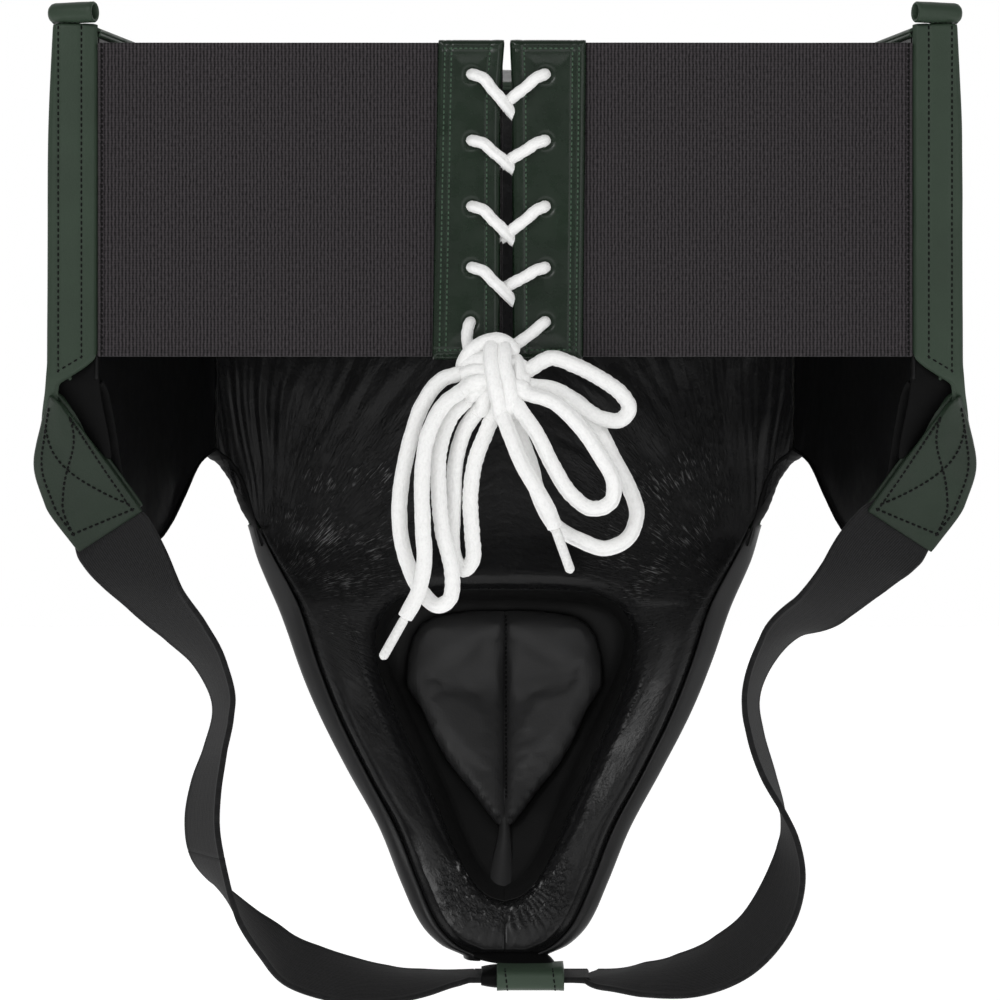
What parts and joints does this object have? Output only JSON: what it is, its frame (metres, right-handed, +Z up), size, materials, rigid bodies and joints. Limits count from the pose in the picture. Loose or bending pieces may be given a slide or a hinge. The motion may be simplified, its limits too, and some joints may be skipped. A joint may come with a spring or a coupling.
{
  "type": "groin protector",
  "caption": "Padded groin protector with a cup, hip wings, an elastic rear band closed by a lace, and two leg straps.",
  "frame": {"origin": "middle of the waist opening at half the rear band's height", "axes": "+Z up, +Y forwards out of the wearer's belly, +X to the wearer's right hand side seen from behind"},
  "size_m": [0.337, 0.2539, 0.3644],
  "materials": {
    "green_leather": "satin dark green leather with black stitching",
    "placket_leather": "glossy dark green leather with green stitching",
    "lining_leather": "glossy wrinkled black leather",
    "band_leather": "semi-gloss black leather",
    "pad_leather": "satin charcoal leather",
    "elastic": "ribbed matt charcoal elastic",
    "webbing": "ribbed matt dark grey elastic webbing",
    "lace": "matt white braided cotton",
    "aglet": "clear film over white lace",
    "foam": "matt grey foam",
    "cup_plastic": "matt moulded plastic"
  },
  "bodies": {
    "root": {"belly_cover": "green_leather", "belly_foam": "foam", "belly_lining": "lining_leather", "cup_cover": "green_leather", "cup_foam": "foam", "cup_shell": "cup_plastic", "left_side_band": "band_leather", "right_side_band": "band_leather", "recess_roll": "lining_leather", "inner_pad_left": "pad_leather", "inner_pad_right": "pad_leather", "left_wing_lining": "lining_leather", "left_wing_foam": "foam", "left_wing_cover": "green_leather", "left_arch_binding": "band_leather", "left_side_tab": "green_leather", "left_top_roll": "green_leather", "left_hip_patch": "green_leather", "left_strap_end": "webbing", "left_hip_patch_back": "green_leather", "right_wing_lining": "lining_leather", "right_wing_foam": "foam", "right_wing_cover": "green_leather", "right_arch_binding": "band_leather", "right_side_tab": "green_leather", "right_top_roll": "green_leather", "right_hip_patch": "green_leather", "right_strap_end": "webbing", "right_hip_patch_back": "green_leather", "top_binding": "green_leather", "strap_loop_run": "webbing", "crotch_loop": "green_leather", "elastic_right": "elastic", "placket_right": "placket_leather", "placket_backing_right": "placket_leather", "lace": "lace"},
    "left_band": {"elastic_left": "elastic", "placket_left": "placket_leather", "placket_backing_left": "placket_leather"},
    "bow": {"lace_knot": "lace", "bow_loop_left_outer": "lace", "bow_loop_left_inner": "lace", "bow_end_left": "lace", "bow_loop_right_upper": "lace", "bow_loop_right_middle": "lace", "bow_loop_right_outer": "lace", "bow_end_right": "lace", "aglet_left": "aglet", "aglet_right": "aglet"},
    "left_strap": {"left_leg_strap": "webbing"},
    "right_strap": {"right_leg_strap": "webbing"}
  },
  "joints": [
    {"name": "left_band_swing", "type": "hinge", "parent": "root", "child": "left_band", "pos_m": [-0.1436, -0.0984, 0], "axis": [0, 0, -1], "range_deg": [0, 35], "deforming": ["lace"]},
    {"name": "bow_swing", "type": "hinge", "parent": "root", "child": "bow", "pos_m": [-0.003, -0.1098, -0.0653], "axis": [-1, 0, 0], "range_deg": [-25, 80]},
    {"name": "left_strap_swing", "type": "hinge", "parent": "root", "child": "left_strap", "pos_m": [-0.1384, -0.06534, -0.1244], "axis": [0.5669, 0.3893, -0.726], "range_deg": [-15, 22]},
    {"name": "right_strap_swing", "type": "hinge", "parent": "root", "child": "right_strap", "pos_m": [0.1346, -0.0646, -0.1238], "axis": [0.4865, -0.409, 0.772], "range_deg": [-15, 22]}
  ]
}
